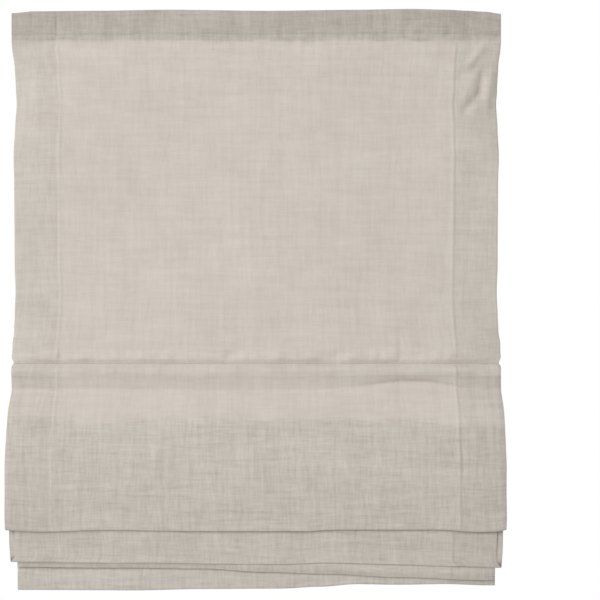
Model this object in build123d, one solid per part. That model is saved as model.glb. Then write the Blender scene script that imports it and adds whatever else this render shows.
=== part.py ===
from build123d import *
from math import cos, hypot, pi, radians, sin
import os

# Roman blind in plain linen, partly raised. Millimetres. X runs across the window, Y from the room
# towards the window and Z up. The origin is the middle of the heading tape's fastening face.

# The cloth as it was cut and sewn
blind_width = 580.0
cloth_thickness = 0.6
side_hem_width = 53.0
heading_depth = 36.0
heading_gap = 1.6
top_section = 418.0
rod_spacing = 335.0
bottom_section = 176.0
bottom_hem_depth = 30.0
seam_radius = 1.3
seam_height = 1.0

# Heading tape
tape_width = 30.0
tape_thickness = 2.0
tape_base_thickness = 0.8
tape_bare_edge = 2.0
tape_top_inset = 1.0
tape_end_inset = 6.0
tape_seam_inset = 2.0

# Rods in their tucks
rod_diameter = 4.5
rod_end_inset = 8.0
tuck_depth = 12.0
pocket_clearance = 0.3
pocket_tip_radius = 0.15
first_tuck_lean = 10.0

# Flat bar in the bottom hem
bar_height = 20.0
bar_thickness = 2.0
bar_end_inset = 10.0
bar_edge_radius = 0.6
bar_clearance = 0.3

# Rings sewn on the tucks
ring_diameter = 12.0
ring_wire = 1.8
ring_clearance = 0.2
ring_edge_inset = 70.0

# How far the blind is raised, and how its folds fall
stack_drop = 70.0
stack_pitch = 10.0
stack_stagger = 2.5
stack_setback = 2.8
layer_gap = 3.0
fold_1_depth = 9.0
fold_2_depth = 7.0
fold_3_depth = 6.0
front_shoulder_drop = 118.0
shoulder_drop = 36.0
front_shoulder_radius = 120.0
shoulder_radius = 30.0
roll_depth = 1.5
roll_rise = 9.0
roll_reach = 30.0
roll_radius = 20.0
roll_end_radius = 60.0
ridge_rise = 5.0
ridge_radius = 3.0
valley_drop = 17.0
valley_depth = 2.5
valley_radius = 12.0

# Levels and depths that follow from the sizes above
hem_thickness = 2 * cloth_thickness
fold_depths = (fold_1_depth, fold_2_depth, fold_3_depth)
heading_top = tape_width / 2 + tape_top_inset
heading_back = -tape_thickness
heading_radius = (heading_gap + hem_thickness) / 2
panel_y = heading_back - 2 * heading_radius
pocket_radius = rod_diameter / 2 + pocket_clearance
rod_reach = tuck_depth - pocket_radius - cloth_thickness
bottom_radius = (bar_thickness + 2 * bar_clearance + 2 * hem_thickness) / 2


def seam_points():
    """The seams that close the tucks: the first hangs free, and one is stacked for each fold."""
    first = (panel_y, heading_top - top_section)
    stacked = []
    for place in range(len(fold_depths)):
        rods_behind = len(fold_depths) - 1 - place
        y = panel_y + stack_setback - rods_behind * stack_stagger
        z = first[1] - stack_drop - place * stack_pitch
        stacked.append((y, z))
    return [first] + stacked


seams = seam_points()
last_y, last_z = seams[-1]
bottom_z = last_z - bottom_section


def tuck_direction(index):
    """The first tuck hangs down behind the cloth. The stacked ones point to the window."""
    if index == 0:
        lean = radians(first_tuck_lean)
        return sin(lean), -cos(lean)
    return 1.0, 0.0


def rod_centre(index):
    y, z = seams[index]
    along_y, along_z = tuck_direction(index)
    return y + along_y * rod_reach, z + along_z * rod_reach


def strip(path, thickness):
    """Cloth of one thickness behind its front face, which the path follows from the top down."""
    return make_face(offset(path, amount=thickness, side=Side.LEFT, closed=True).edges())


def heading_and_panel():
    """From the turned edge at the back, over the top and down to a soft roll above the first seam."""
    turn_z = heading_top - heading_radius
    seam_z = seams[0][1]
    back = Line((heading_back, heading_top - heading_depth), (heading_back, turn_z))
    over = ThreePointArc(
        (heading_back, turn_z), (heading_back - heading_radius, heading_top), (panel_y, turn_z)
    )
    roll_top = (panel_y, seam_z + roll_reach)
    roll = (panel_y - roll_depth, seam_z + roll_rise)
    front = FilletPolyline(
        (panel_y, turn_z), roll_top, roll, seams[0], radius=[roll_end_radius, roll_radius]
    )
    return Curve() + [back, over, front]


def length(start, end):
    return hypot(end[0] - start[0], end[1] - start[1])


def fold(down, up, down_radii, up_radii):
    """A loop of cloth, one rod spacing long from seam to seam, that hangs from its shoulders."""
    width = up[0][0] - down[-1][0]
    sloped = sum(length(a, b) for a, b in zip(down, down[1:]))
    sloped += sum(length(a, b) for a, b in zip(up, up[1:]))
    straight = rod_spacing - sloped - pi * width / 2
    turn_z = (down[-1][1] + up[0][1] - straight) / 2
    front_foot = (down[-1][0], turn_z)
    back_foot = (up[0][0], turn_z)
    lowest = (front_foot[0] + width / 2, turn_z - width / 2)
    return Curve() + [
        FilletPolyline(*down, front_foot, radius=down_radii),
        ThreePointArc(front_foot, lowest, back_foot),
        FilletPolyline(back_foot, *up, radius=up_radii),
    ]


def front_layer(index, front_y):
    """The way down from a seam. Below the first one the cloth rides over its rod and falls back."""
    seam_y, seam_z = seams[index]
    if index > 0:
        return [(seam_y, seam_z), (front_y, seam_z - shoulder_drop)], [shoulder_radius]
    rod_y, rod_z = rod_centre(index)
    ridge_y = rod_y - pocket_radius - 2 * hem_thickness - pocket_clearance
    lip = (seam_y - hem_thickness, seam_z)
    above_ridge = (ridge_y, seam_z - ridge_rise)
    ridge = (ridge_y, rod_z)
    valley = (ridge_y + valley_depth, rod_z - valley_drop)
    shoulder = (front_y, seam_z - front_shoulder_drop)
    radii = [ridge_radius, ridge_radius, valley_radius, front_shoulder_radius]
    return [lip, above_ridge, ridge, valley, shoulder], radii


def fold_paths():
    """The loops, from the one before the last section to the front one."""
    paths = []
    front_y = last_y
    for index in reversed(range(len(fold_depths))):
        back_y = front_y - layer_gap
        front_y = back_y - fold_depths[index]
        end_y, end_z = seams[index + 1]
        down, down_radii = front_layer(index, front_y)
        up = [(back_y, end_z - shoulder_drop), (end_y, end_z)]
        paths.append(fold(down, up, down_radii, [shoulder_radius]))
    return paths


def last_section():
    """From the last seam down to the hem, round the bottom and up to the hem's edge."""
    back_y = last_y + 2 * bottom_radius
    turn_z = bottom_z + bottom_radius
    front = Line((last_y, last_z), (last_y, turn_z))
    under = ThreePointArc((last_y, turn_z), (last_y + bottom_radius, bottom_z), (back_y, turn_z))
    back = Line((back_y, turn_z), (back_y, bottom_z + bottom_hem_depth))
    return Curve() + [front, under, back]


def circle_at(centre, radius):
    return Pos(*centre) * Circle(radius)


def pocket(index, thickness):
    """A tuck sewn shut at its seam, with the hollow that its rod runs in."""
    seam_y, seam_z = seams[index]
    along_y, along_z = tuck_direction(index)
    reach = seam_radius + pocket_tip_radius
    tip = (seam_y + along_y * reach, seam_z + along_z * reach)
    rod = rod_centre(index)
    outer = circle_at(rod, pocket_radius + thickness) + circle_at(seams[index], seam_radius)
    inner = circle_at(rod, pocket_radius) + circle_at(tip, pocket_tip_radius)
    return make_hull(outer.edges()) - make_hull(inner.edges())


def sewn_line(front_y, back_y, z):
    """A row of stitches that holds two layers together."""
    centre = ((front_y + back_y) / 2, z)
    return Pos(*centre) * Rectangle(back_y - front_y, seam_height)


def cloth_section(thickness):
    """The cloth cut across from front to back, as deep as one or two layers."""
    section = strip(heading_and_panel(), thickness)
    for path in fold_paths():
        section += strip(path, thickness)
    section += strip(last_section(), thickness)
    for index in range(len(seams)):
        section += pocket(index, thickness)
    tape_seam_z = -tape_width / 2 + tape_seam_inset
    section += sewn_line(panel_y, heading_back, tape_seam_z)
    hem_seam_z = bottom_z + bottom_hem_depth - seam_height / 2
    section += sewn_line(last_y, last_y + 2 * bottom_radius, hem_seam_z)
    return section


def across(section, start_x, end_x):
    """A section run along the blind's width."""
    return extrude(Plane.YZ.offset(start_x) * section, amount=end_x - start_x)


def blind_cloth():
    hem_x = blind_width / 2 - side_hem_width
    single = cloth_section(cloth_thickness)
    double = cloth_section(hem_thickness)
    cloth = across(single, -hem_x, hem_x)
    cloth += across(double, -blind_width / 2, -hem_x)
    cloth += across(double, hem_x, blind_width / 2)
    return cloth


def heading_tape():
    """A woven base sewn to the heading, with a band of loops on it."""
    half = blind_width / 2 - tape_end_inset
    pile_thickness = tape_thickness - tape_base_thickness
    base = Pos(heading_back + tape_base_thickness / 2, 0) * Rectangle(tape_base_thickness, tape_width)
    pile_height = tape_width - 2 * tape_bare_edge
    pile = Pos(-pile_thickness / 2, 0) * Rectangle(pile_thickness, pile_height)
    return across(base + pile, -half, half)


def rod(index):
    half = blind_width / 2 - rod_end_inset
    return across(circle_at(rod_centre(index), rod_diameter / 2), -half, half)


def bottom_bar():
    half = blind_width / 2 - bar_end_inset
    centre = (last_y + bottom_radius, bottom_z + bottom_radius + bar_height / 2)
    outline = Pos(*centre) * RectangleRounded(bar_thickness, bar_height, bar_edge_radius)
    return across(outline, -half, half)


def ring(index, x):
    """A flat ring that lies level behind its tuck."""
    rod_y, rod_z = rod_centre(index)
    tuck_back = rod_y + pocket_radius + cloth_thickness
    y = tuck_back + ring_clearance + ring_diameter / 2
    outline = Circle(ring_diameter / 2) - Circle(ring_diameter / 2 - ring_wire)
    return Pos(x, y, rod_z - ring_wire / 2) * extrude(outline, amount=ring_wire)


def pieces():
    made = {"blind_cloth": blind_cloth(), "heading_tape": heading_tape(), "bottom_bar": bottom_bar()}
    ring_x = blind_width / 2 - ring_edge_inset
    columns = {"left": -ring_x, "middle": 0.0, "right": ring_x}
    for index in range(len(seams)):
        number = index + 1
        made[f"rod_{number}"] = rod(index)
        for column, x in columns.items():
            made[f"ring_{number}_{column}"] = ring(index, x)
    return made


for name, shape in pieces().items():
    solids = shape.solids()
    body = solids[0] if len(solids) == 1 else Compound(children=solids)
    export_step(body, f"parts/{name}.step")
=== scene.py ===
import bisect
import math
from collections import namedtuple

import bmesh
import bpy
from bpy.props import FloatProperty, FloatVectorProperty, PointerProperty
from mathutils import Matrix, Vector, noise


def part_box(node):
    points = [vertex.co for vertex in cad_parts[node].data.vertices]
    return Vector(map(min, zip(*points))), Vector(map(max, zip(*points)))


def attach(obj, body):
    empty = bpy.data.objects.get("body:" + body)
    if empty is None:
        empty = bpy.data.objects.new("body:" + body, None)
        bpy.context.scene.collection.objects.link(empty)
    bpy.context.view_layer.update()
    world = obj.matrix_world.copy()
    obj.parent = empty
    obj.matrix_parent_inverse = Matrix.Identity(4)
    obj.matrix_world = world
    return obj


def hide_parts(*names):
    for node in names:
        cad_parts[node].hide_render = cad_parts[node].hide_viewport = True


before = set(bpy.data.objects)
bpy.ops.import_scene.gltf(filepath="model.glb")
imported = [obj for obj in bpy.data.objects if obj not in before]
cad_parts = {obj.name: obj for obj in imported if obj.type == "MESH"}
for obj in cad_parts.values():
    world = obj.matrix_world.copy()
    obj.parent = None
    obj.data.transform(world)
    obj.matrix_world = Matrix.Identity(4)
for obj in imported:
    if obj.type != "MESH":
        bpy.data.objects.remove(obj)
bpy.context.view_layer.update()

bl_info = {
    "name": "Linen Roman Blind",
    "version": (1, 0, 0),
    "blender": (4, 5, 0),
    "location": "View3D > Sidebar > Blind",
    "description": "Dresses a partly raised Roman blind in linen and sets up its studio",
    "category": "Add Mesh",
}

ROOT = "root"
MM = 0.001
RODS = (1, 2, 3, 4)
FOLDS = (1, 2, 3)
COLUMNS = ("left", "middle", "right")

# Outlines in millimetres. The top edge, each fold and the hem: place across, drop below the plain level
TOP_DROP = (
    (-290, 3.4), (-262, 1.2), (-186, 0.6), (-107, -0.6), (14, 0.6),
    (114, -0.5), (185, -1.6), (228, -0.6), (250, 0.6), (271, 1.8), (290, 4.2),
)
FOLD_DROPS = {
    1: (
        (-290, -0.9), (-250, 0.9), (-180, -1.1), (-64, 0.2), (52, 0.2),
        (95, -1.5), (214, -1.5), (256, 1.4), (280, 0.8), (290, -1.1),
    ),
    2: ((-290, -3.4), (-147, -2.4), (28, -0.7), (87, -2.4), (169, -0.1), (240, 1.8), (288, 3.5)),
    3: ((-290, -8.2), (-185, -7.3), (-66, -6.1), (16, -2.0), (87, 0.4), (170, 4.0), (277, 7.5)),
}
HEM_DROP = (
    (-290, 6.0), (-186, 6.4), (-150, 6.6), (-67, 5.0), (28, 4.5), (76, 2.3), (123, -0.8), (171, -0.1),
    (231, -0.9), (280, 0.6),
)

# How far the side edges pull in: by height above the first seam, and at the foot of each layer below it
SIDE_PULL = (
    (-404, -0.8), (-382, -0.8), (-364, 1.6), (-346, 2.8), (-319, 4.0), (-285, 3.0), (-190, 2.6),
    (-158, 1.6), (-122, 2.8), (-96, 4.0), (-78, 2.8), (-50, 1.6), (-28, -0.8),
)
FOOT_PULL = {
    "front_1": -3.6, "back_1": -3.2, "front_2": 5.2, "back_2": -2.0,
    "front_3": 7.4, "back_3": 6.0, "last": 5.8, "hem": 5.8,
}

# Creases in millimetres: run of the cloth, start and end as (across, height), rise, width
CREASES = (
    ("heading", (145, -9), (145, -14), -1.5, 2.8),
    ("heading", (175, -9), (175, -14), -1.5, 2.6),
    ("heading", (200, -8), (200, -13), -1.2, 2.8),
    ("heading", (229, -6), (229, -14), -1.5, 2.6),
    ("heading", (251, 6), (251, -12), -1.3, 3.4),
    ("heading", (189, 10), (190, -4), -0.9, 9.0),
    ("heading", (138, 8), (141, -6), -0.7, 6.0),
    ("heading", (64, 12), (66, -4), -0.8, 5.0),
    ("heading", (102, 10), (103, -4), -0.6, 6.0),
    ("heading", (-75, 2), (-76, -14), -0.6, 6.0),
    ("heading", (-172, 0), (-171, -14), -0.7, 5.0),
    ("heading", (-236, 3), (-235, -14), -1.1, 4.0),
    ("panel", (254, -50), (268, -29), 2.0, 4.0),
    ("panel", (243, -62), (262, -53), -2.4, 4.2),
    ("panel", (271, -58), (269, -84), -2.8, 4.2),
    ("panel", (269, -84), (250, -105), -2.8, 4.2),
    ("panel", (251, -86), (258, -70), 1.2, 4.5),
    ("panel", (282, -60), (278, -100), 1.2, 4.5),
    ("panel", (-250, -92), (-276, -50), 0.9, 5.0),
    ("panel", (-244, -70), (-262, -38), -0.9, 4.0),
    ("panel", (171, -366), (172, -394), -0.8, 4.0),
    ("front_1", (120, -437), (150, -434), -0.6, 3.6),
    ("front_1", (150, -434), (200, -433), -0.8, 3.4),
    ("front_1", (200, -433), (237, -437), -0.8, 3.6),
    ("front_1", (171, -426), (173, -458), -0.9, 3.0),
    ("front_1", (-60, -562), (44, -579), 0.8, 4.0),
    ("front_1", (150, -468), (196, -476), -0.7, 6.0),
    ("front_1", (244, -470), (262, -500), 0.8, 5.0),
    ("front_1", (-176, -530), (-120, -556), -0.7, 6.0),
    ("front_2", (-90, -612), (-20, -630), 0.6, 5.0),
    ("front_2", (158, -600), (160, -640), -0.8, 3.5),
)


def length_setting(name, description, millimetres):
    return FloatProperty(name=name, description=description, default=millimetres * MM, unit="LENGTH")


class ClothSettings(bpy.types.PropertyGroup):
    """Sizes of the cloth as it was cut and sewn."""

    thickness: length_setting("Thickness", "Thickness of the linen", 0.6)
    side_hem: length_setting("Side hem", "Width of the turned side hem", 53)
    heading: length_setting("Heading", "Depth of the turned heading", 36)
    heading_stitch: length_setting("Heading stitch", "From the tape's middle to the stitches", 13)
    bottom_hem: length_setting("Bottom hem", "Depth of the bottom hem", 30)
    tuck_reach: length_setting("Tuck reach", "From a seam to its rod's centre", 8.85)
    tuck_clearance: length_setting("Tuck clearance", "Room round a rod", 0.3)
    pinched: length_setting("Pinched hem", "Between the faces of the hem's layers where sewn", 0.62)
    loose: length_setting("Loose hem", "What a hem gains in depth where it hangs free", 0.6)


class FallSettings(bpy.types.PropertyGroup):
    """How the raised cloth falls in folds, puckers and waves."""

    layer_gap: length_setting("Layer gap", "Between one fold and the next", 3)
    fold_1: length_setting("Front fold", "Depth of the front fold", 6.5)
    fold_2: length_setting("Second fold", "Depth of the second fold", 7)
    fold_3: length_setting("Third fold", "Depth of the third fold", 6)
    foot_1: length_setting("Front fold's foot", "Depth of the front fold at its lowest line", 1.4)
    foot_2: length_setting("Second fold's foot", "Depth of the second fold at its lowest line", 1.4)
    foot_3: length_setting("Third fold's foot", "Depth of the third fold at its lowest line", 1.4)
    lean_1: length_setting("Front fold's lean", "How far its front leans back to its foot", 10)
    lean_2: length_setting("Second fold's lean", "The same for the second fold", 10)
    lean_3: length_setting("Third fold's lean", "The same for the third fold", 5.6)
    level_1: length_setting("Front fold level", "Height of its lowest line", -600)
    level_2: length_setting("Second fold level", "Height of its lowest line", -641.8)
    level_3: length_setting("Third fold level", "Height of its lowest line", -653.6)
    shoulder: length_setting("Shoulder", "From a seam down to the fold's full depth", 36)
    front_shoulder: length_setting("Front shoulder", "The same for the front fold", 118)
    seam_sag: length_setting("Seam sag", "How far the gathers push the first seam down", 2.2)
    roll: length_setting("Roll", "How far the cloth rolls out above the first seam", 1.9)
    ridge: length_setting("Ridge", "How far the cloth rises below that seam", 1.8)
    pucker: length_setting("Pucker", "Height of the puckers along the seams", 1.8)
    billow: length_setting("Billow", "Height of the broad waves in the top section", 2.6)
    rest_1: length_setting("Rest on the front fold", "How far the cloth behind comes forward to it", 1.5)
    rest_2: length_setting("Rest on the second fold", "The same behind the second fold", 2.9)
    rest_3: length_setting("Rest on the third fold", "The same behind the third fold", 1.2)
    closed: length_setting("Closed sides", "Depth of the hidden folds where their sides lie together", 1.9)
    bend: length_setting("Bend", "How far the stack of folds bends forward", 1.4)


class FinishSettings(bpy.types.PropertyGroup):
    """Colours of the linen and its thread."""

    light: FloatVectorProperty(
        name="Light linen", description="Its light threads", default=(0.70, 0.650, 0.588), subtype="COLOR"
    )
    dark: FloatVectorProperty(
        name="Dark linen", description="Its dark threads", default=(0.51, 0.460, 0.405), subtype="COLOR"
    )
    thread: FloatVectorProperty(
        name="Thread", description="Sewing thread", default=(0.66, 0.615, 0.545), subtype="COLOR"
    )
    translucence: FloatProperty(
        name="Translucence", description="Share of light that the linen lets through", default=0.14
    )


class StageSettings(bpy.types.PropertyGroup):
    """The camera and the studio."""

    distance: FloatProperty(name="Distance", description="From camera to cloth", default=1.5, unit="LENGTH")
    eye_x: length_setting("Camera across", "How far right the camera stands", 52)
    eye_z: length_setting("Camera height", "Height of the camera", -328.5)
    field: length_setting("Field", "Width of the view at the cloth", 714)
    floor_drop: length_setting("Floor drop", "From the hem to the floor", 650)
    floor_radius: length_setting("Floor radius", "Radius of the floor", 1300)


SETTINGS = {
    "blind_cloth": ClothSettings,
    "blind_fall": FallSettings,
    "blind_finish": FinishSettings,
    "blind_stage": StageSettings,
}


class Socket:
    """A socket in a material that ordinary arithmetic works on."""

    def __init__(self, finish, socket):
        self.finish = finish
        self.socket = socket

    def maths(self, operation, first, second=0.0):
        return self.finish.add("ShaderNodeMath", {"operation": operation}, {0: first, 1: second})

    def __add__(self, other):
        return self.maths("ADD", self, other)

    __radd__ = __add__

    def __sub__(self, other):
        return self.maths("SUBTRACT", self, other)

    def __rsub__(self, other):
        return self.maths("SUBTRACT", other, self)

    def __mul__(self, other):
        return self.maths("MULTIPLY", self, other)

    __rmul__ = __mul__

    def wave(self, length):
        """A sine wave along this socket."""
        return self.maths("SINE", self * (2 * math.pi / length))

    def size(self):
        return self.maths("ABSOLUTE", self)

    def between(self, low, high):
        """0 below low, 1 above high and a smooth step between them."""
        sockets = {"Value": self, "From Min": low, "From Max": high}
        return self.finish.add("ShaderNodeMapRange", {"interpolation_type": "SMOOTHSTEP"}, sockets)


class Finish:
    """One material and its nodes."""

    def __init__(self, name):
        self.material = bpy.data.materials.new(name)
        self.material.use_nodes = True
        self.tree = self.material.node_tree
        self.tree.nodes.clear()

    def add(self, kind, settings, sockets, out=0):
        """A node, with its settings first and then its sockets' values or links."""
        node = self.tree.nodes.new(kind)
        for key, value in settings.items():
            setattr(node, key, value)
        for key, value in sockets.items():
            if isinstance(value, Socket):
                self.tree.links.new(value.socket, node.inputs[key])
            else:
                node.inputs[key].default_value = value
        return Socket(self, node.outputs[out] if len(node.outputs) else None)

    def mix(self, factor, first, second):
        return self.add("ShaderNodeMix", {"data_type": "RGBA"}, {0: factor, 6: first, 7: second}, out=2)

    def axes(self, place):
        """The three numbers of a vector."""
        split = self.add("ShaderNodeSeparateXYZ", {}, {0: place})
        return [Socket(self, out) for out in split.socket.node.outputs]

    def object_axes(self):
        return self.axes(self.add("ShaderNodeTexCoord", {}, {}, out=3))

    def noise(self, x, y, z=0.0, detail=2.0):
        """Noise at a place that is given as three numbers."""
        place = self.add("ShaderNodeCombineXYZ", {}, {0: x, 1: y, 2: z})
        return self.add("ShaderNodeTexNoise", {}, {"Vector": place, "Scale": 1.0, "Detail": detail})

    def bump(self, height, distance, strength):
        sockets = {"Height": height, "Distance": distance, "Strength": strength}
        return self.add("ShaderNodeBump", {}, sockets)

    def shader(self, **sockets):
        """A Principled shader. An underscore in a name stands for a space."""
        named = {key.replace("_", " "): value for key, value in sockets.items()}
        return self.add("ShaderNodeBsdfPrincipled", {}, named)

    def done(self, shader):
        self.add("ShaderNodeOutputMaterial", {}, {"Surface": shader})
        return self.material


def paint(red, green, blue):
    return (red, green, blue, 1.0)


def grey(value):
    return paint(value, value, value)


def linen(settings, cloth, way):
    """Natural linen in plain weave, slubbed both ways, with painted shade where it lies double or over the tape
    or the stack of folds.
    """
    f = Finish("natural_linen")
    across, down, _ = f.axes(f.add("ShaderNodeUVMap", {"uv_map": "cloth"}, {}))
    weft = f.noise(across * 55, down * 440, 1.7, 3.0)
    warp = f.noise(across * 440, down * 50, 5.2, 3.0)
    long_weft = f.noise(across * 16, down * 210, 8.6, 2.0)
    long_warp = f.noise(across * 190, down * 11, 9.1, 2.0)
    cloud = f.noise(across * 30, down * 30, 3.3, 3.0)
    slub = weft.between(0.60, 0.75) + warp.between(0.62, 0.76)
    # Masks for painted shade: the side hems, the heading, the tape and the stack of folds behind the face each
    # darken the colour, standing in for the light from behind that these layers keep out. The heading's lower
    # edge wavers so that its painted shade ends softly.
    hem_edge = way.half - cloth.side_hem
    side = across.size().between(hem_edge - 0.5 * MM, hem_edge + 0.7 * MM)
    hem_line = down - way.heading_end - (f.noise(across * 38, 0.0, 6.4) - 0.5) * 0.007
    top = 1 - hem_line.between(-1.4 * MM, 3.2 * MM)
    tape_shade_mask = 1 - down.between(way.stitch_down - 1.0 * MM, way.stitch_down + 1.2 * MM)
    stack_edge = way.stack_down + (cloud - 0.5) * 0.018 + (across * 9).wave(1.9) * 0.002
    stack_shade_mask = (down - stack_edge).between(-5 * MM, 6 * MM)
    layered = f.add("ShaderNodeMath", {"operation": "MAXIMUM"}, {0: stack_shade_mask + top, 1: side * 0.4})
    threads = (weft + warp - 1) * 0.5 + (long_weft + long_warp - 1) * 0.2 - slub * 0.13
    slow = (long_weft + long_warp - 1) * 0.25 + (cloud - 0.5) * 0.4
    tone = 0.60 + threads * (1 + layered * 1.35) + slow
    cloth_colour = f.mix(tone, paint(*settings.dark), paint(*settings.light))
    # Painted shade: the colour is darkened over the side hems, the heading, the tape and the stack of folds.
    shade = 1 - side * 0.03 - top * 0.185 - tape_shade_mask * 0.038 - stack_shade_mask * 0.085
    base = f.mix(shade, grey(0.0), cloth_colour)
    weave = across.wave(1.6 * MM) * down.wave(1.6 * MM)
    height = weave * 0.22 + (weft + warp) * 0.9 + slub * 0.25
    normal = f.bump(height, 0.22 * MM, 0.6)
    face = f.shader(Base_Color=base, Roughness=0.93, Normal=normal, IOR=1.3)
    through = f.add("ShaderNodeBsdfTranslucent", {}, {"Color": paint(*settings.light), "Normal": normal})
    return f.done(f.add("ShaderNodeMixShader", {}, {0: settings.translucence, 1: face, 2: through}))


def sewing_thread(settings):
    """Twisted sewing thread, a little lighter than the cloth."""
    f = Finish("sewing_thread")
    x, y, z = f.object_axes()
    twist = f.noise(x * 2500, y * 2500, z * 2500)
    base = f.mix(twist, paint(0.52, 0.475, 0.405), paint(*settings.thread))
    return f.done(f.shader(Base_Color=base, Roughness=0.7, Normal=f.bump(twist, 0.1 * MM, 0.5)))


def woven_base():
    """The tape's woven ground, with ribs across it."""
    f = Finish("tape_ground")
    x, y, z = f.object_axes()
    ribs = x.wave(0.9 * MM) * 0.5 + z.wave(1.3 * MM) * 0.3
    wear = f.noise(x * 120, y * 120, z * 420)
    base = f.mix(wear, paint(0.60, 0.58, 0.52), paint(0.76, 0.74, 0.68))
    return f.done(f.shader(Base_Color=base, Roughness=0.85, Normal=f.bump(ribs, 0.15 * MM, 0.7)))


def loop_pile():
    """Brushed loops, fluffy and matt."""
    f = Finish("loop_pile")
    x, y, z = f.object_axes()
    loops = f.noise(x * 1500, y * 900, z * 1500, 4.0)
    tufts = f.noise(x * 380, y * 380, z * 380)
    base = f.mix(loops * 0.7 + tufts * 0.3, paint(0.60, 0.58, 0.52), paint(0.88, 0.86, 0.80))
    return f.done(f.shader(Base_Color=base, Roughness=0.97, Normal=f.bump(loops + tufts, 0.7 * MM, 0.9)))


def glass_fibre():
    """Drawn rod with faint lengthwise strands."""
    f = Finish("glass_fibre")
    x, y, z = f.object_axes()
    strands = f.noise(x * 9, y * 2600, z * 2600)
    base = f.mix(strands, paint(0.62, 0.62, 0.56), paint(0.82, 0.82, 0.77))
    return f.done(f.shader(Base_Color=base, Roughness=0.36, Normal=f.bump(strands, 0.08 * MM, 0.5)))


def milky_plastic():
    """Moulded rings with a soft shine and a fine moulded skin."""
    f = Finish("milky_plastic")
    x, y, z = f.object_axes()
    cloud = f.noise(x * 260, y * 260, z * 260)
    skin = f.noise(x * 3200, y * 3200, z * 3200)
    base = f.mix(cloud, paint(0.78, 0.77, 0.72), paint(0.90, 0.89, 0.85))
    return f.done(f.shader(Base_Color=base, Roughness=0.26 + skin * 0.1, Normal=f.bump(skin, 0.02 * MM, 0.4)))


def rolled_steel():
    """Flat bar with lengthwise mill marks."""
    f = Finish("rolled_steel")
    x, y, z = f.object_axes()
    marks = f.noise(x * 7, y * 1200, z * 1200, 3.0)
    base = f.mix(marks, paint(0.46, 0.47, 0.48), paint(0.64, 0.65, 0.66))
    return f.done(f.shader(Base_Color=base, Metallic=1.0, Roughness=0.28 + marks * 0.22))


def pale_floor():
    f = Finish("pale_floor")
    soft = f.noise(*f.object_axes())
    return f.done(f.shader(Base_Color=f.mix(soft, grey(0.85), grey(0.89)), Roughness=0.85))


def smooth(value):
    """0 below 0, 1 above 1 and a smooth step between them."""
    value = min(max(value, 0.0), 1.0)
    return value * value * (3 - 2 * value)


def bell(value, centre, reach):
    """1 at the centre, falling away to nothing past the reach."""
    return math.exp(-(((value - centre) / reach) ** 2))


def through(outline, place):
    """A smooth line through a few points in millimetres, in metres."""
    place /= MM
    if place <= outline[0][0]:
        return outline[0][1] * MM
    for (start, low), (end, high) in zip(outline, outline[1:]):
        if place <= end:
            return (low + (high - low) * smooth((place - start) / (end - start))) * MM
    return outline[-1][1] * MM


def ripple(x, s, wide, high, seed):
    """Smooth noise on the cloth, from about -1 to 1, with waves of this width and height."""
    return 1.4 * noise.noise(Vector((x / wide, s / high, seed)))


Corner = namedtuple("Corner", "run y z radius step")


class Row:
    """A line of the cloth across the blind, at one distance down the sheet."""

    def __init__(self, place, run):
        self.y, self.z = place
        self.run = run


def rows_along(corners):
    """Rows along straight runs and the arcs between them."""
    first = corners[0]
    rows = [Row((first.y, first.z), first.run)]
    here = Vector((first.y, first.z))
    for before, corner, after in zip(corners, corners[1:], corners[2:] + [None]):
        place = Vector((corner.y, corner.z))
        way = (place - here).normalized()
        turn, cut = 0.0, 0.0
        if after and corner.radius:
            turn = way.angle_signed(Vector((after.y, after.z)) - place)
            cut = corner.radius * math.tan(abs(turn) / 2)
        end = place - way * cut
        count = max(1, round((end - here).length / before.step))
        rows += [Row(here.lerp(end, n / count), before.run) for n in range(1, count + 1)]
        here = end
        if cut:
            pieces = max(2, math.ceil(abs(turn) / math.radians(28)))
            centre = end + Vector((way.y, -way.x)) * math.copysign(corner.radius, turn)
            arm = end - centre
            spins = [Matrix.Rotation(-turn * n / pieces, 2) for n in range(1, pieces + 1)]
            rows += [Row(centre + spin @ arm, corner.run) for spin in spins]
            here = centre + spins[-1] @ arm
    return rows


def box_centre(node):
    low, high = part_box(node)
    return (Vector(low) + Vector(high)) / 2


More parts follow.
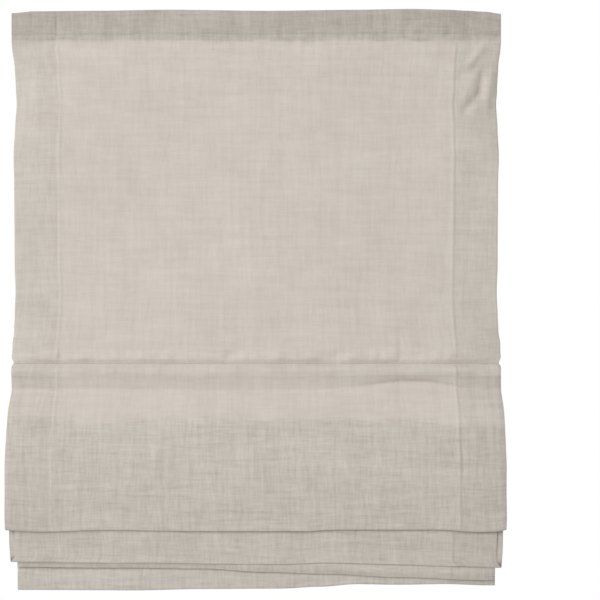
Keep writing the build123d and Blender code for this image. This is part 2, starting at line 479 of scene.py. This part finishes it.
class Way:
    """The cloth's way in the plane across the blind, from its turned heading to its hem."""

    def __init__(self, cloth, fall):
        self.cloth = cloth
        self.fall = fall
        low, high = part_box("blind_cloth")
        self.half = high[0]
        self.top = high[2]
        self.bottom = low[2]
        self.tape_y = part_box("heading_tape")[0][1]
        rod_low, rod_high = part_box("rod_1")
        self.pocket = (rod_high[2] - rod_low[2]) / 2 + cloth.tuck_clearance
        self.turn = 1.4 * MM
        self.panel_y = self.tape_y - 2 * self.turn
        self.rods = {n: Vector(box_centre(f"rod_{n}")[1:]) for n in RODS}
        self.seams = {n: self.seam(n) for n in RODS}
        self.fronts, self.backs = self.layers()
        self.rows = rows_along(self.corners())
        self.measure()

    def seam(self, number):
        rod = self.rods[number]
        if number > 1:
            return rod - Vector((self.cloth.tuck_reach, 0))
        rise = math.sqrt(self.cloth.tuck_reach**2 - (rod.x - self.panel_y) ** 2)
        return Vector((self.panel_y, rod.y + rise - self.fall.seam_sag))

    def setting(self, name, number):
        """A setting that each fold has its own value of."""
        return getattr(self.fall, f"{name}_{number}")

    def layers(self):
        """How far forward the front and the back of each fold hang, from the rearmost fold on."""
        fronts, backs = {}, {}
        place = self.seams[4].x
        for number in reversed(FOLDS):
            backs[number] = place - self.fall.layer_gap
            fronts[number] = backs[number] - self.setting("fold", number)
            place = fronts[number]
        return fronts, backs

    def foot(self, number):
        """Where the front of a fold ends at its lowest line."""
        return self.fronts[number] + self.setting("lean", number), self.setting("level", number)

    def depth(self, number, row):
        """How deep a fold is at the height of a row on its front."""
        y, level = self.foot(number)
        shoulder = self.seams[number + 1].y - self.fall.shoulder
        back = y + self.setting("foot", number)
        return back + (self.backs[number] - back) * (row.z - level) / (shoulder - level) - row.y

    def corners(self):
        way = self.heading() + self.tuck(1)
        for number in FOLDS:
            way += self.front(number) + self.back(number) + self.tuck(number + 1)
        return way + self.last()

    def heading(self):
        seam = self.seams[1]
        bend = self.turn * 0.98
        stitch = -self.cloth.heading_stitch
        lower = self.top - self.cloth.heading
        y = self.panel_y
        return [
            Corner("turned", self.tape_y, lower, 0, 6 * MM),
            Corner("turned", self.tape_y, self.top, bend, MM),
            Corner("heading", y, self.top, bend, 4 * MM),
            Corner("heading", y, stitch + 4 * MM, 0, MM),
            Corner("heading", y, stitch - 3 * MM, 0, 1.4 * MM),
            Corner("panel", y, lower, 0, 1.5 * MM),
            Corner("panel", y, lower - 3 * MM, 0, 4.5 * MM),
            Corner("panel", y, seam.y + 34 * MM, 0, 2.4 * MM),
            Corner("panel", y, seam.y + 8 * MM, 0, 1.3 * MM),
        ]

    def tuck(self, number):
        """Along one side of the tuck, round its rod and back to the seam."""
        seam, rod = self.seams[number], self.rods[number]
        reach = (rod - seam).length
        along = (rod - seam) / reach
        aside = Vector((-along.y, along.x))
        far = reach + self.pocket
        wide = far * math.tan(math.asin(self.pocket / reach))
        nip = aside * 0.12 * MM
        run = f"tuck_{number}"
        places = (
            (seam + nip, 0.5 * MM),
            (seam + along * far + aside * wide, self.pocket),
            (seam + along * far - aside * wide, self.pocket),
        )
        made = [Corner(run, *place, radius, 2.6 * MM) for place, radius in places]
        following = "last" if number == RODS[-1] else f"front_{number}"
        step = (1.2 if number == 1 else 8) * MM
        return made + [Corner(following, *(seam - nip), 0.5 * MM, step)]

    def front(self, number):
        """Down the front of a fold. The first one starts with a lip and a ridge over its rod."""
        run = f"front_{number}"
        seam, rod = self.seams[number], self.rods[number]
        y = self.fronts[number]
        foot = Corner(run, *self.foot(number), self.setting("foot", number) * 0.49, MM)
        if number > 1:
            shoulder = seam.y - self.fall.shoulder
            seen = self.setting("level", number - 1) + 12 * MM
            hidden_share = (shoulder - seen) / (shoulder - foot.z)
            return [
                Corner(run, y, shoulder, 30 * MM, 11 * MM),
                Corner(run, y + (foot.y - y) * hidden_share, seen, 0, 3.2 * MM),
                foot,
            ]
        ridge = rod.x - self.pocket - 4 * self.cloth.thickness - self.cloth.tuck_clearance
        return [
            Corner(run, seam.x - 1.2 * MM, seam.y - 0.3 * MM, 0.7 * MM, 1 * MM),
            Corner(run, ridge, seam.y - 5 * MM, 3 * MM, 1.6 * MM),
            Corner(run, ridge, rod.y - 8 * MM, 2.6 * MM, 1.8 * MM),
            Corner(run, ridge + 5.4 * MM, rod.y - 25 * MM, 5 * MM, 2 * MM),
            Corner(run, ridge - 3.5 * MM, rod.y - 46 * MM, 60 * MM, 4 * MM),
            Corner(run, y, seam.y - self.fall.front_shoulder, 120 * MM, 4 * MM),
            foot,
        ]

    def back(self, number):
        run = f"back_{number}"
        y, level = self.foot(number)
        depth = self.setting("foot", number)
        shoulder = self.seams[number + 1].y - self.fall.shoulder
        return [
            Corner(run, y + depth, level, depth * 0.49, 10 * MM),
            Corner(run, self.backs[number], shoulder, 30 * MM, 6 * MM),
        ]

    def last(self):
        """Down to the bottom hem, round it and up to its stitches."""
        y = self.seams[4].x
        turn = 2.5 * MM
        seen = self.fall.level_3 + 16 * MM
        return [
            Corner("last", y, seen, 0, 3.2 * MM),
            Corner("last", y, self.bottom, turn * 0.98, MM),
            Corner("hem", y + 2 * turn, self.bottom, turn * 0.98, 3 * MM),
            Corner("hem", y + 2 * turn, self.bottom + self.cloth.bottom_hem, 0, 3 * MM),
        ]

    def measure(self):
        """Gives each row its distances and the way that its face looks, and finds the lines of the heading's
        stitches and of the linen's painted shade.
        """
        rows = self.rows
        places = [Vector((row.y, row.z)) for row in rows]
        downs = [0.0]
        for a, b in zip(places, places[1:]):
            downs.append(downs[-1] + (b - a).length)
        spans = {}
        for row, down in zip(rows, downs):
            spans.setdefault(row.run, []).append(down)
        for n, row in enumerate(rows):
            along = places[min(n + 1, len(rows) - 1)] - places[max(n - 1, 0)]
            row.out = Vector((along.y, -along.x)).normalized()
            row.down = downs[n]
            row.above = downs[n] - spans[row.run][0]
            row.below = spans[row.run][-1] - downs[n]
        self.downs = downs
        self.spans = {run: (down[0], down[-1]) for run, down in spans.items()}
        heading_start = self.spans["heading"][0]
        self.heading_end = heading_start + self.cloth.heading
        self.stitch_down = heading_start + self.top + self.cloth.heading_stitch
        front_start = self.spans["front_1"][0]
        self.stack_down = front_start + (self.seams[1].y - self.seams[2].y) * 1.04


class Surface:
    """Where the cloth's front face lies, with its puckers, waves, creases and tilted folds."""

    def __init__(self, cloth, fall):
        self.cloth = cloth
        self.fall = fall
        self.way = Way(cloth, fall)
        self.half = self.way.half

    def lift(self, x, row):
        """How far the cloth stands out from its plain way."""
        run = row.run.split("_")[0]
        shapes = {"heading": self.heading_lift, "panel": self.panel_lift, "front": self.front_lift}
        total = shapes.get(run, self.hidden_lift)(x, row)
        for name, start, end, rise, width in CREASES:
            if name == row.run:
                total += self.crease(x, row.z, start, end, rise, width)
        return total

    def crease(self, x, z, start, end, rise, width):
        """A soft line that fades at its ends."""
        start, end = Vector(start) * MM, Vector(end) * MM
        way = end - start
        place = Vector((x, z)) - start
        share = place.dot(way) / way.length_squared
        if not -0.6 < share < 1.6:
            return 0.0
        aside = (place - way * share).length
        along = smooth((share + 0.35) / 0.5) * smooth((1.35 - share) / 0.5)
        return rise * MM * along * bell(aside, 0, width * MM)

    def side_hem(self, x, row):
        """A ridge and a groove where the side hem is sewn, and its edge curled back."""
        inner = self.half - self.cloth.side_hem
        free = smooth(min(row.above, row.below) / (7 * MM))
        sewn = 0.55 * MM * bell(abs(x), inner - 1.2 * MM, 1.7 * MM)
        sewn -= 0.3 * MM * bell(abs(x), inner + 1.8 * MM, 1.2 * MM)
        curl = 7.2 * bell(row.z, -80 * MM, 55 * MM) + 4.8 * bell(row.z, -380 * MM, 26 * MM)
        curl += 2.4 * bell(row.z, -434 * MM, 15 * MM) + 1.6 * bell(row.z, -490 * MM, 60 * MM)
        out = max(0.0, (abs(x) - inner) / self.cloth.side_hem)
        return free * (sewn - curl * MM * out * out)

    def heading_lift(self, x, row):
        """Flat over the tape, dented along its stitches."""
        stitch = -self.cloth.heading_stitch
        near = smooth((self.way.top - row.z) / (6 * MM))
        puckers = ripple(x, row.down, 9 * MM, 60 * MM, 2.1) * bell(row.z, stitch, 6 * MM)
        soft = ripple(x, row.down, 40 * MM, 60 * MM, 7.3) * 0.25 * MM
        groove = -0.7 * MM * bell(row.z, stitch, 1.3 * MM)
        return (puckers * 0.55 * MM + soft + groove) * near

    def panel_lift(self, x, row):
        """Billows between the heading and the first seam, and rolls out above that seam."""
        f, s = self.fall, row.down
        hang = smooth(row.above / (70 * MM)) * smooth(row.below / (60 * MM))
        billow = ripple(x, s, 190 * MM, 230 * MM, 3.1) * f.billow
        wave = ripple(x, s, 60 * MM, 85 * MM, 7.7) * 0.7 * MM + ripple(x, s, 21 * MM, 34 * MM, 1.9) * 0.14 * MM
        gathers = ripple(x, s, 22 * MM, 60 * MM, 6.1) + 0.5 * ripple(x, s, 10 * MM, 60 * MM, 4.2)
        gathers *= 1 - 0.8 * smooth((abs(x) - self.half + self.cloth.side_hem + 3 * MM) / (6 * MM))
        roll = bell(row.below, 6.5 * MM, 6 * MM) * smooth(row.below / (5 * MM))
        gathered = bell(row.below, 9.5 * MM, 5 * MM) * gathers * f.pucker
        under = bell(row.above, 2 * MM, 11 * MM) * smooth(row.above / (2 * MM) + 0.2)
        seam = roll * f.roll + gathered * 1.2
        top = under * ripple(x, s, 12 * MM, 60 * MM, 2.1) * f.pucker * 0.35
        return (billow + wave) * hang + seam + top + self.side_hem(x, row)

    def front_lift(self, x, row):
        """Gathers on the ridge, and soft waves where the fold hangs free."""
        f, s = self.fall, row.down
        first = row.run == "front_1"
        start = 20 * MM if first else 0.0
        hang = smooth((row.above - start) / (45 * MM)) * smooth(row.below / (22 * MM))
        wave = ripple(x, s, 120 * MM, 90 * MM, 5.5) * 0.9 * MM + ripple(x, s, 45 * MM, 50 * MM, 2.8) * 0.45 * MM
        wave += ripple(x, s, 16 * MM, 26 * MM, 1.3) * 0.12 * MM
        if not first:
            number = int(row.run[-1])
            side = smooth((abs(x) - self.half + 24 * MM) / (20 * MM)) * smooth(row.above / (60 * MM))
            closing = max(0.0, self.way.depth(number, row) - f.closed) * side
            rest = self.rest(x, row, number - 1) * smooth(row.below / (8 * MM))
            return wave * hang * 0.55 + rest + self.side_hem(x, row) - closing
        gathers = ripple(x, s, 12 * MM, 90 * MM, 8.4) + 0.6 * ripple(x, s, 30 * MM, 90 * MM, 3.9)
        ridge = bell(row.above, 9.5 * MM, 5.5 * MM) * (f.ridge + gathers * f.pucker * 0.5)
        return wave * hang + ridge + self.side_hem(x, row)

    def rest(self, x, row, before):
        """Comes forward where the fold before ends, more so at the left."""
        level = self.way.setting("level", before)
        more = 1 + smooth((60 * MM - x) / (200 * MM)) * (before == 1)
        return self.way.setting("rest", before) * bell(row.z, level - 3 * MM, 15 * MM) * more

    def hidden_lift(self, x, row):
        """The runs behind stay calm, and rods and the bar keep theirs straight."""
        if row.run.split("_")[0] != "back" and row.run != "last":
            return 0.0
        hang = smooth(row.above / (25 * MM)) * smooth((row.below - 20 * MM) / (40 * MM))
        calm = ripple(x, row.down, 90 * MM, 80 * MM, 6.6) * 0.4 * MM * hang
        if row.run == "last":
            calm += self.rest(x, row, FOLDS[-1]) * smooth(row.below / (20 * MM))
        return calm

    def bend(self, x, row):
        """The folds below the rods bend forward together, clear of the bar in the hem."""
        if row.run.split("_")[0] not in ("front", "back", "last"):
            return 0.0
        fade = smooth((-500 * MM - row.z) / (70 * MM))
        if row.run == "last":
            fade *= smooth((row.z + 636 * MM) / (40 * MM))
        return self.fall.bend * fade * (0.5 + 0.5 * ripple(x, row.z, 150 * MM, 160 * MM, 9.7))

    def drop(self, x, row):
        """How far the heading, a fold or the hem hangs below its plain level."""
        kind, _, number = row.run.partition("_")
        if kind in ("turned", "heading", "panel"):
            return through(TOP_DROP, x) * smooth((row.z + 29 * MM) / (40 * MM))
        if kind in ("front", "back"):
            level = getattr(self.fall, f"level_{number}")
            drop = through(FOLD_DROPS[int(number)], x) * smooth(1 - (row.z - level) / (130 * MM))
            arch = 8 * MM * bell(x, 182 * MM, 62 * MM) * bell(row.z, -436 * MM, 14 * MM)
            return drop - arch * (row.run == "front_1")
        if kind in ("last", "hem"):
            return through(HEM_DROP, x) * smooth(1 - (row.z - self.way.bottom) / (130 * MM))
        return 0.0

    def pull(self, row):
        """How far the side edges stand in from the blind's full width."""
        kind, _, number = row.run.partition("_")
        slit = 2.6 * MM
        if kind in ("turned", "heading", "panel"):
            return through(SIDE_PULL, row.z) + slit * (kind == "panel") * (1 - smooth(row.below / (8 * MM)))
        if kind == "tuck":
            return slit * (1 - smooth(min(row.above, row.below) / (1.5 * MM))) - 0.6 * MM
        foot = FOOT_PULL[row.run] * MM
        if kind == "hem":
            return foot
        far = row.above if kind != "back" else row.below
        near = row.below if kind != "back" else row.above
        if number:
            other = f"back_{number}" if kind == "front" else f"front_{number}"
            wide, narrow = sorted((foot, FOOT_PULL[other] * MM))
            corner = wide + (narrow - wide) * 0.25
            turned = (8 if kind == "front" else 20) * MM
            foot += (corner - foot) * (1 - smooth(near / turned))
        if number == "1":
            foot -= 1.5 * MM * smooth((-540 * MM - row.z) / (50 * MM))
        start = slit * (1 - smooth(far / (9 * MM)))
        wobble = 0.5 * MM * ripple(1.0, row.down, 1.0, 40 * MM, 4.6) * smooth(far / (30 * MM))
        return foot * smooth(far / (65 * MM)) + start + wobble

    def hem_depth(self, row):
        """Between the faces of the side hem's two layers."""
        kind = row.run.split("_")[0]
        from_seam = {
            "panel": min(row.above, row.below), "front": row.above, "back": row.below,
            "last": min(row.above, row.below),
        }
        free = smooth(from_seam.get(kind, 0.0) / (5 * MM))
        return self.cloth.pinched + self.cloth.loose * free

    def place(self, across, row, proud=0.0):
        """The point at a distance across the flat sheet, turned back at the side hems."""
        depth = self.hem_depth(row)
        radius = depth / 2
        flat = self.half - radius
        arc = math.pi * radius
        reach, back = abs(across), 0.0
        if reach > flat + arc:
            reach, back = 2 * flat + arc - reach, depth
        elif reach > flat:
            angle = (reach - flat) / radius
            reach, back = flat + radius * math.sin(angle), radius * (1 - math.cos(angle))
        x = math.copysign(reach, across)
        out = self.lift(x, row) - back + proud
        y = row.y + row.out.x * out - self.bend(x, row)
        z = row.z + row.out.y * out - self.drop(x, row)
        return Vector((x * (1 - self.pull(row) / self.half), y, z))

    def at(self, across, down, proud=0.0):
        """The point at any distance across and down the flat sheet."""
        rows, downs = self.way.rows, self.way.downs
        after = min(max(bisect.bisect_left(downs, down), 1), len(rows) - 1)
        share = (down - downs[after - 1]) / (downs[after] - downs[after - 1])
        start = self.place(across, rows[after - 1], proud)
        return start.lerp(self.place(across, rows[after], proud), share)


def spaced(stops):
    """Places along a line, from (place, step after it) stops. The last one ends it."""
    places = [stops[0][0]]
    for (start, step), (end, _) in zip(stops, stops[1:]):
        count = max(1, round((end - start) / step))
        places += [start + (end - start) * n / count for n in range(1, count + 1)]
    return places


def finished(name, mesh, material):
    """A new object at the origin that moves with the blind."""
    data = bpy.data.meshes.new(name)
    mesh.to_mesh(data)
    mesh.free()
    data.shade_smooth()
    data.materials.append(material)
    piece = bpy.data.objects.new(name, data)
    bpy.context.scene.collection.objects.link(piece)
    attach(piece, ROOT)
    return piece


def walled(piece, thickness):
    """Gives a sheet its thickness behind its face."""
    wall = piece.modifiers.new("thickness", "SOLIDIFY")
    wall.thickness = thickness
    wall.offset = -1.0
    return piece


def the_surface():
    scene = bpy.context.scene
    return Surface(scene.blind_cloth, scene.blind_fall)


class BLIND_OT_cloth(bpy.types.Operator):
    """Lays the linen along its way from the heading to the bottom hem"""

    bl_idname = "blind.cloth"
    bl_label = "Linen cloth"

    def execute(self, context):
        surface = the_surface()
        cloth, rows = surface.cloth, surface.way.rows
        material = linen(context.scene.blind_finish, cloth, surface.way)
        split = next(n for n, row in enumerate(rows) if row.run == "front_1")
        self.lay("linen_panel", surface, rows[: split + 1], 2.3 * MM, material, "hung", "heading_tape")
        self.lay("linen_folds", surface, rows[split:], 4.8 * MM, material, "folded", "rod_1")
        return {"FINISHED"}

    def columns(self, surface, pitch):
        """Distances across the flat sheet, closer together at the side hems' seams and edges."""
        half, hem = surface.half, surface.cloth.side_hem
        inner = half - hem
        ahead = spaced([
            (inner - 4 * MM, 1.2 * MM), (inner + 4 * MM, pitch * 1.2), (half - 0.6 * MM, 0.5 * MM),
            (half + 1.6 * MM, 5 * MM), (half + hem, 5 * MM),
        ])
        middle = spaced([(-inner + 4 * MM, pitch), (inner - 4 * MM, pitch)])
        return [-place for place in reversed(ahead)] + middle[1:-1] + ahead

    def lay(self, name, surface, rows, pitch, material, held, rests_on):
        """A grid whose points are moved to their places, with the flat sheet's measures as its map."""
        columns = self.columns(surface, pitch)
        mesh = bmesh.new()
        wide, high = len(columns) - 1, len(rows) - 1
        bmesh.ops.create_grid(mesh, x_segments=wide, y_segments=high, size=1.0)
        layer = mesh.loops.layers.uv.new("cloth")
        flat = {}
        for vertex in mesh.verts:
            across = columns[round((vertex.co.x + 1) / 2 * wide)]
            row = rows[round((1 - vertex.co.y) / 2 * high)]
            flat[vertex] = (across, row.down)
            vertex.co = surface.place(across, row)
        for face in mesh.faces:
            for corner in face.loops:
                corner[layer].uv = flat[corner.vert]
        piece = walled(finished(name, mesh, material), surface.cloth.thickness)
        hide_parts("blind_cloth")
        size = (columns[-1] - columns[0], rows[-1].down - rows[0].down)


class BLIND_OT_stitching(bpy.types.Operator):
    """Sews the heading, the side hems, the tucks and the bottom hem"""

    bl_idname = "blind.stitching"
    bl_label = "Stitching"

    pitch = 3.4 * MM
    stitch = 2.3 * MM
    radius = 0.24 * MM

    def execute(self, context):
        self.surface = the_surface()
        self.mesh = bmesh.new()
        cloth, way = self.surface.cloth, self.surface.way
        hidden = -(cloth.thickness + 0.05 * MM)
        self.sew_across(way.stitch_down, 0.05 * MM)
        hem_end = way.spans["hem"][1] - 1.5 * MM
        self.sew_across(hem_end, 0.05 * MM)
        for number in RODS:
            self.sew_across(way.spans[f"tuck_{number}"][0] + 1.2 * MM, hidden)
            self.sew_across(way.spans[f"tuck_{number}"][1] - 1.2 * MM, hidden)
        short = 9 * MM
        for run, (start, end) in way.spans.items():
            kind = run.split("_")[0]
            if kind in ("heading", "panel"):
                self.sew_down(start + 2 * MM, end - (short if kind == "panel" else 2 * MM))
            elif kind in ("front", "last"):
                self.sew_down(start + short, end - 2 * MM)
        finished("stitching", self.mesh, sewing_thread(context.scene.blind_finish))
        return {"FINISHED"}

    def sew_across(self, down, proud):
        reach = self.surface.half - 5 * MM
        place = -reach
        while place < reach:
            self.add(self.surface.at(place, down, proud), self.surface.at(place + self.stitch, down, proud))
            place += self.pitch

    def sew_down(self, start, end):
        inner = self.surface.half - self.surface.cloth.side_hem + 1.4 * MM
        down = start
        while down + self.stitch < end:
            for across in (-inner, inner):
                first = self.surface.at(across, down, 0.05 * MM)
                self.add(first, self.surface.at(across, down + self.stitch, 0.05 * MM))
            down += self.pitch

    def add(self, start, end):
        """One stitch, a long bead between two needle holes."""
        way = end - start
        turn = way.to_track_quat("X", "Z").to_matrix().to_4x4()
        size = Matrix.Diagonal((way.length / 2, self.radius, self.radius, 1))
        matrix = Matrix.Translation((start + end) / 2) @ turn @ size
        bmesh.ops.create_icosphere(self.mesh, subdivisions=1, radius=1.0, matrix=matrix)


class BLIND_OT_tape(bpy.types.Operator):
    """Sews the loop tape behind the heading"""

    bl_idname = "blind.tape"
    bl_label = "Loop tape"

    ground = 0.8 * MM
    bare_edge = 2 * MM

    def execute(self, context):
        surface = the_surface()
        low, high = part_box("heading_tape")
        back = low[1] + self.ground
        ground = self.strip("tape_ground", surface, high, low, 0.0, back, self.ground, woven_base())
        pile = self.strip(
            "tape_pile", surface, high, low, self.bare_edge, high[1] - 0.1 * MM,
            high[1] - back - 0.1 * MM, loop_pile(),
        )
        return {"FINISHED"}

    def strip(self, name, surface, high, low, inset, y, thickness, material):
        """A band that looks to the window and follows the heading's droop."""
        mesh = bmesh.new()
        bmesh.ops.create_grid(mesh, x_segments=230, y_segments=14, size=1.0)
        wide, tall = high[0] - 0.5 * inset, high[2] - inset
        for vertex in mesh.verts:
            x, z = -vertex.co.x * wide, vertex.co.y * tall
            rough = noise.noise(Vector((x / (2.2 * MM), z / (2.2 * MM), 3.0)))
            fluff = 0.12 * MM * rough if inset else 0.0
            sag = surface.drop(x, min(surface.way.rows, key=lambda row: abs(row.z - z)))
            vertex.co = (x, y + fluff, z - sag)
        piece = walled(finished(name, mesh, material), thickness)
        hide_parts("heading_tape")
        return piece


class BLIND_OT_rings(bpy.types.Operator):
    """Turns the sewn rings and the threads that hold them"""

    bl_idname = "blind.rings"
    bl_label = "Rings"

    def execute(self, context):
        plastic = milky_plastic()
        ties = bmesh.new()
        for number in RODS:
            for column in COLUMNS:
                node = f"ring_{number}_{column}"
                low, high = (Vector(corner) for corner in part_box(node))
                centre = (low + high) / 2
                wire = (high.z - low.z) / 2
                radius = (high.x - low.x) / 2 - wire
                mesh = bmesh.new()
                upright = Matrix.Rotation(math.pi / 2, 4, "X")
                start = Matrix.Translation(centre + Vector((radius, 0, 0))) @ upright
                self.spin(mesh, start, wire, 16, centre, (0, 0, 1), 44)
                piece = finished(f"sewn_ring_{number}_{column}", mesh, plastic)
                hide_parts(node)
                self.tie(ties, centre - Vector((0, radius, 0)), wire)
        finished("ring_ties", ties, sewing_thread(context.scene.blind_finish))
        return {"FINISHED"}

    def spin(self, mesh, start, radius, segments, centre, axis, steps):
        """A round wire bent into a ring."""
        made = bmesh.ops.create_circle(mesh, segments=segments, radius=radius, matrix=start)
        edges = {edge for vertex in made["verts"] for edge in vertex.link_edges}
        before = set(mesh.faces)
        bmesh.ops.spin(
            mesh, geom=made["verts"] + list(edges), cent=centre, axis=axis,
            angle=2 * math.pi, steps=steps, use_merge=True,
        )
        new = [face for face in mesh.faces if face not in before]
        bmesh.ops.recalc_face_normals(mesh, faces=new)

    def tie(self, ties, wire_centre, wire):
        """Turns of thread round the ring's wire and through the back of the tuck."""
        thread = 0.24 * MM
        for turn in (-1.5, -0.5, 0.5, 1.5):
            middle = wire_centre + Vector((turn * 0.5 * MM, -0.4 * MM, 0))
            start = Matrix.Translation(middle + Vector((0, wire + 0.4 * MM + thread, 0)))
            self.spin(ties, start, thread, 6, middle, (1, 0, 0), 14)


class BLIND_OT_hardware(bpy.types.Operator):
    """Finishes the rods and the bar"""

    bl_idname = "blind.hardware"
    bl_label = "Rods and bar"

    def execute(self, context):
        finishes = {"bottom_bar": rolled_steel()}
        finishes.update(dict.fromkeys((f"rod_{number}" for number in RODS), glass_fibre()))
        for node, material in finishes.items():
            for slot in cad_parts[node].material_slots:
                slot.material = material
        return {"FINISHED"}


class BLIND_OT_stage(bpy.types.Operator):
    """Sets up the floor, the lights, the white surround and the camera"""

    bl_idname = "blind.stage"
    bl_label = "Stage"

    # Name, place from the middle of the view, size, power
    lamps = (
        ("key", (-2.5, -5.1, 2.55), 4.2, 350.0),
        ("fill", (-0.9, -2.2, -1.1), 2.2, 11.0),
        ("window", (0.0, 1.7, 0.5), 1.8, 7.0),
    )
    surround = 0.28

    def execute(self, context):
        scene = context.scene
        settings = scene.blind_stage
        self.lay_floor(settings)
        self.light_world(scene)
        self.hang_lamps(scene, settings)
        self.place_camera(scene, settings)
        scene.view_settings.view_transform = "Standard"
        return {"FINISHED"}

    def lay_floor(self, settings):
        low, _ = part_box("blind_cloth")
        mesh = bmesh.new()
        place = Matrix.Translation((0, 0, low[2] - settings.floor_drop))
        bmesh.ops.create_circle(mesh, cap_ends=True, segments=96, radius=settings.floor_radius, matrix=place)
        data = bpy.data.meshes.new("floor")
        mesh.to_mesh(data)
        mesh.free()
        data.materials.append(pale_floor())
        floor = bpy.data.objects.new("floor", data)
        bpy.context.scene.collection.objects.link(floor)

    def light_world(self, scene):
        """White where the camera or a shine looks at it, and a plain soft light on the blind."""
        world = bpy.data.worlds.new("white_surround")
        scene.world = world
        world.use_nodes = True
        tree = world.node_tree
        tree.nodes.clear()
        path = tree.nodes.new("ShaderNodeLightPath")
        seen = path.outputs["Is Camera Ray"]
        for ray in ("Is Glossy Ray", "Is Transmission Ray"):
            either = tree.nodes.new("ShaderNodeMath")
            either.operation = "MAXIMUM"
            tree.links.new(seen, either.inputs[0])
            tree.links.new(path.outputs[ray], either.inputs[1])
            seen = either.outputs[0]
        mix = tree.nodes.new("ShaderNodeMixShader")
        tree.links.new(seen, mix.inputs[0])
        for socket, strength in ((1, self.surround), (2, 1.0)):
            background = tree.nodes.new("ShaderNodeBackground")
            background.inputs["Color"].default_value = grey(1.0)
            background.inputs["Strength"].default_value = strength
            tree.links.new(background.outputs[0], mix.inputs[socket])
        out = tree.nodes.new("ShaderNodeOutputWorld")
        tree.links.new(mix.outputs[0], out.inputs[0])

    def hang_lamps(self, scene, settings):
        middle = Vector((0, 0, settings.eye_z))
        for name, place, size, power in self.lamps:
            light = bpy.data.lights.new(name, "AREA")
            light.energy = power
            light.size = size
            lamp = bpy.data.objects.new(name, light)
            lamp.location = middle + Vector(place)
            lamp.rotation_euler = (-Vector(place)).to_track_quat("-Z", "Y").to_euler()
            scene.collection.objects.link(lamp)

    def place_camera(self, scene, settings):
        low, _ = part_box("heading_tape")
        data = bpy.data.cameras.new("camera")
        data.sensor_width = 36.0
        data.lens = data.sensor_width * settings.distance / settings.field
        camera = bpy.data.objects.new("camera", data)
        camera.location = (settings.eye_x, low[1] - settings.distance, settings.eye_z)
        camera.rotation_euler = (math.pi / 2, 0, 0)
        scene.collection.objects.link(camera)
        scene.camera = camera


STEPS = (
    BLIND_OT_stage, BLIND_OT_cloth, BLIND_OT_stitching, BLIND_OT_tape, BLIND_OT_rings, BLIND_OT_hardware,
)


class BLIND_PT_panel(bpy.types.Panel):
    """The steps that make the blind"""

    bl_label = "Roman blind"
    bl_space_type = "VIEW_3D"
    bl_region_type = "UI"
    bl_category = "Blind"

    def draw(self, context):
        for step in STEPS:
            self.layout.operator(step.bl_idname)


def register():
    for name, group in SETTINGS.items():
        bpy.utils.register_class(group)
        setattr(bpy.types.Scene, name, PointerProperty(type=group))
    for step in (*STEPS, BLIND_PT_panel):
        bpy.utils.register_class(step)


def unregister():
    for step in reversed((*STEPS, BLIND_PT_panel)):
        bpy.utils.unregister_class(step)
    for name, group in SETTINGS.items():
        delattr(bpy.types.Scene, name)
        bpy.utils.unregister_class(group)


def main():
    register()
    for step in STEPS:
        area, name = step.bl_idname.split(".")
        getattr(getattr(bpy.ops, area), name)()


if __name__ == "__main__":
    main()
